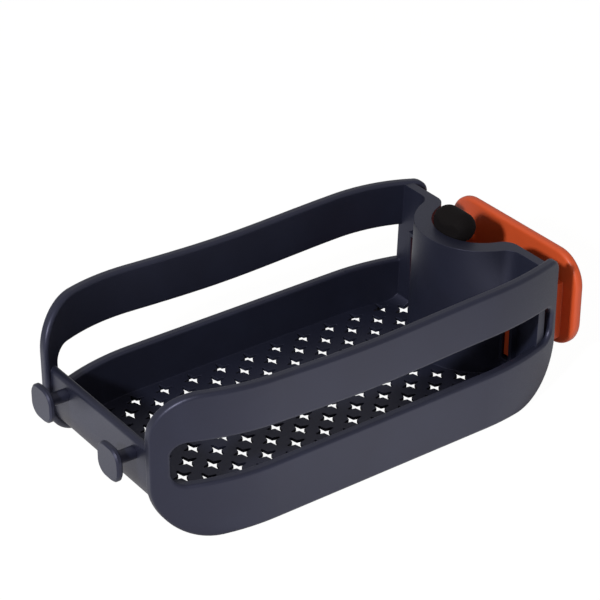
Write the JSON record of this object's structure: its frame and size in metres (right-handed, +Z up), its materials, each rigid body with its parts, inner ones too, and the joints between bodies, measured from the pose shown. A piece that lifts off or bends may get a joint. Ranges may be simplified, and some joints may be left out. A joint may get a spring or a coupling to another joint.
{
  "type": "kitchen sink caddy",
  "caption": "Long open drain basket with windowed side panels, a starred floor, hook pegs at its low end and a sliding clamp that holds a faucet neck in a pocket at its tall end.",
  "frame": {"origin": "on the surface that the caddy stands on, under the middle of its overall length and width", "axes": "+X along the basket towards the clamp, +Y across it, +Z up"},
  "size_m": [0.2508, 0.12, 0.0802],
  "materials": {
    "basket": "fine matte moulding, dark navy",
    "clamp": "satin moulding, burnt orange",
    "bumper": "matte black rubber"
  },
  "bodies": {
    "basket": {"basket_shell": "basket", "neck_bumper": "bumper", "hook_peg_far": "basket", "hook_peg_near": "basket"},
    "clamp": {"clamp_slider": "clamp"}
  },
  "joints": [
    {"name": "clamp_slide", "type": "slide", "parent": "basket", "child": "clamp", "axis": [1, 0, 0], "range_m": [-0.014, 0]}
  ]
}
